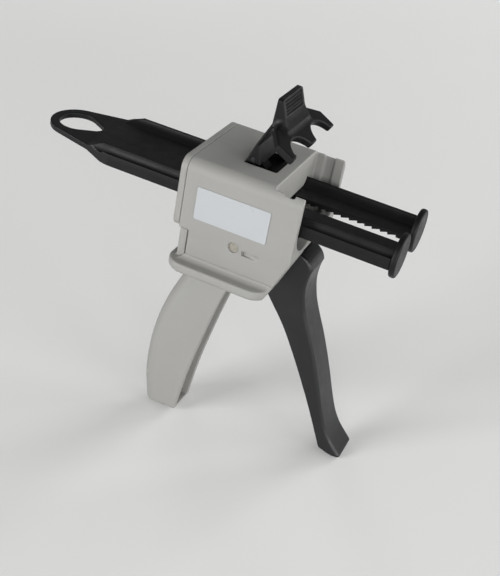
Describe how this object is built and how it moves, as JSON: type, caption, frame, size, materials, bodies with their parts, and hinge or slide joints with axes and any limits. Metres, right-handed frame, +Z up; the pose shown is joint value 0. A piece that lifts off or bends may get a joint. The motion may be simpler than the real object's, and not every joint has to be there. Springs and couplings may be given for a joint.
{
  "type": "cartridge dispensing tool",
  "caption": "Hand-held dispensing tool with a squeeze trigger, ribbed twin-rod plunger with pusher discs, pull loop, and a hinged clip over an open cartridge seat.",
  "frame": {"origin": "centre of the tool's outline at floor level, standing on the grip's foot and the trigger's toe", "axes": "+X forward, the way the discs push, +Z up, +Y to the tool's left; the plunger slopes down forwards by 9.2 degrees"},
  "size_m": [0.1663, 0.0624, 0.1632],
  "materials": {
    "black_plastic": "satin moulded plastic, black",
    "grey_plastic": "fine-grained moulded plastic, warm light grey",
    "guide_plastic": "smooth slippery plastic, off-white",
    "label": "bare white label plate",
    "steel": "plain bright steel"
  },
  "bodies": {
    "body": {"body_housing": "grey_plastic", "rear_cover": "grey_plastic", "rear_cover_screws": "steel", "label_plate": "label", "grip_frame": "grey_plastic", "frame_screws": "steel", "plunger_guides": "guide_plastic", "trigger_pin": "steel", "trigger_washers": "guide_plastic", "trigger_spring": "steel", "pawl_return_spring": "steel", "brake_spring": "steel", "holding_pawl_pin": "steel", "release_lever_pin": "steel", "clip_bracket": "black_plastic", "clip_pin": "steel", "clip_detent": "steel"},
    "plunger": {"plunger_frame": "black_plastic", "left_pusher_disc": "black_plastic", "right_pusher_disc": "black_plastic"},
    "trigger": {"trigger": "black_plastic", "drive_pawl_pin": "steel", "drive_pawl_spring": "steel"},
    "drive_pawl": {"drive_pawl": "steel"},
    "holding_pawl": {"holding_pawl": "steel"},
    "release_lever": {"release_lever": "black_plastic"},
    "clip": {"cartridge_clip": "black_plastic"}
  },
  "joints": [
    {"name": "plunger_slide", "type": "slide", "parent": "body", "child": "plunger", "axis": [0.9871, 0, -0.1599], "range_m": [-0.043, 0.042]},
    {"name": "trigger_pivot", "type": "hinge", "parent": "body", "child": "trigger", "pos_m": [0.01519, 0, 0.10324], "axis": [0, 1, 0], "range_deg": [0, 24], "stiffness_Nm_per_rad": 0.06, "springref_deg": -28.65, "deforming": ["trigger_spring"]},
    {"name": "drive_pawl_pivot", "type": "hinge", "parent": "trigger", "child": "drive_pawl", "pos_m": [0.01564, 0, 0.11228], "axis": [0, 1, 0], "range_deg": [-24.5, 0.5], "deforming": ["drive_pawl_spring"]},
    {"name": "release_pivot", "type": "hinge", "parent": "body", "child": "release_lever", "pos_m": [-0.00125, 0, 0.10185], "axis": [0, 1, 0], "range_deg": [0, 10], "stiffness_Nm_per_rad": 0.01, "springref_deg": -17.19, "deforming": ["pawl_return_spring"]},
    {"name": "holding_pawl_pivot", "type": "hinge", "parent": "body", "child": "holding_pawl", "pos_m": [-0.00032, 0, 0.11385], "axis": [0, 1, 0], "range_deg": [-0.5, 13]},
    {"name": "clip_hinge", "type": "hinge", "parent": "body", "child": "clip", "pos_m": [0.01666, 0, 0.13673], "axis": [0, 1, 0], "range_deg": [0, 62]}
  ],
  "couplings": [
    {"joint": "drive_pawl_pivot", "follows": "trigger_pivot", "ratio": -1},
    {"joint": "holding_pawl_pivot", "follows": "release_pivot", "ratio": 1.2}
  ]
}
